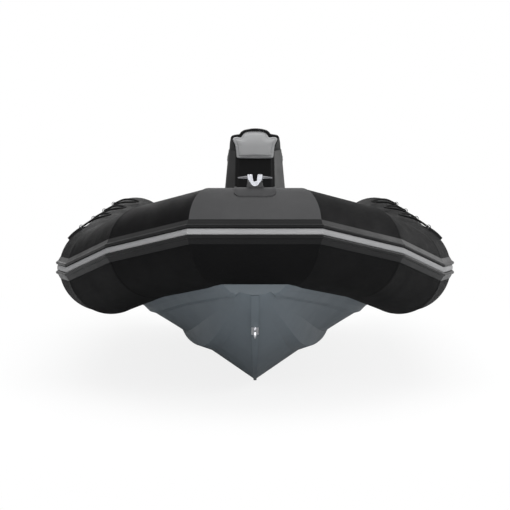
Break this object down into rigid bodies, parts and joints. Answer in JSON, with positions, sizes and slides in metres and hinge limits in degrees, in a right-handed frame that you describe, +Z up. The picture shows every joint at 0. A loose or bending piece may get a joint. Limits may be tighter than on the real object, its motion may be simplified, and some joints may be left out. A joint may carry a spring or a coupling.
{
  "type": "rigid inflatable boat",
  "caption": "Small open boat with a rigid V hull under an inflated tube collar, a straddle console with a steering wheel, a seat locker and a bow locker lid.",
  "frame": {"origin": "on the centreline amidships at the waterline", "axes": "+Z up, the bow points along -Y, +X to port"},
  "size_m": [1.9124, 4.0466, 1.2117],
  "materials": {
    "tube_skin": "satin coated fabric",
    "patch_grey": "satin coated fabric",
    "strake_black": "satin",
    "strake_grey": "satin",
    "hull_gel": "moulded, gelcoat",
    "deck_gel": "moulded, textured",
    "moulded_black": "moulded",
    "pad_grey": "moulded",
    "panel_light": "coated upholstery",
    "cushion_grey": "coated upholstery",
    "stainless": "polished",
    "alloy": "anodised",
    "plastic_black": "moulded",
    "rope_black": "braided rope",
    "rubber_black": "moulded",
    "ply_pad": "moulded"
  },
  "bodies": {
    "boat": {"backrest_pad": "cushion_grey", "backrest_posts": "stainless", "bow_eye": "stainless", "bow_fairlead": "stainless", "bow_locker": "hull_gel", "bow_locker_hinges": "stainless", "bow_pad": "pad_grey", "bow_patch": "patch_grey", "console": "moulded_black", "console_cowl": "moulded_black", "console_panel": "panel_light", "dash_panel": "moulded_black", "deck": "deck_gel", "drain_plug": "plastic_black", "fairlead_base": "plastic_black", "grab_handles_port": "rubber_black", "grab_handles_starboard": "rubber_black", "hull": "hull_gel", "inflation_valves": "plastic_black", "keel_strip": "hull_gel", "lifeline_port": "rope_black", "lifeline_starboard": "rope_black", "motor_pad_inner": "ply_pad", "motor_pad_outer": "ply_pad", "rope_holders_port": "rubber_black", "rope_holders_starboard": "rubber_black", "rope_loops_port": "stainless", "rope_loops_starboard": "stainless", "seat_base": "deck_gel", "seat_hinges": "stainless", "steering_shaft": "plastic_black", "stern_eyes": "stainless", "strake_band": "strake_grey", "strake_nose": "strake_black", "strake_port": "strake_black", "strake_starboard": "strake_black", "throttle_box": "plastic_black", "throttle_lever": "alloy", "transom": "hull_gel", "tube_cone_port": "tube_skin", "tube_cone_starboard": "tube_skin", "tube_nose": "tube_skin", "tube_shoulder_a_port": "tube_skin", "tube_shoulder_a_starboard": "tube_skin", "tube_shoulder_b_port": "tube_skin", "tube_shoulder_b_starboard": "tube_skin", "tube_shoulder_c_port": "tube_skin", "tube_shoulder_c_starboard": "tube_skin", "tube_side_port": "tube_skin", "tube_side_starboard": "tube_skin"},
    "locker_lid": {"bow_locker_lid": "deck_gel"},
    "seat": {"seat_lid": "deck_gel", "seat_cushion": "cushion_grey"},
    "wheel": {"steering_wheel": "plastic_black"}
  },
  "joints": [
    {"name": "locker_lid_hinge", "type": "hinge", "parent": "boat", "child": "locker_lid", "pos_m": [0, -1.3632, 0.3805], "axis": [1, 0, 0], "range_deg": [0, 75]},
    {"name": "seat_hinge", "type": "hinge", "parent": "boat", "child": "seat", "pos_m": [0, 0.1128, 0.4785], "axis": [1, 0, 0], "range_deg": [0, 60]},
    {"name": "steering", "type": "hinge", "parent": "boat", "child": "wheel", "pos_m": [0, -0.02, 0.88], "axis": [0, 0.848, 0.5299], "range_deg": [-540, 540]}
  ]
}
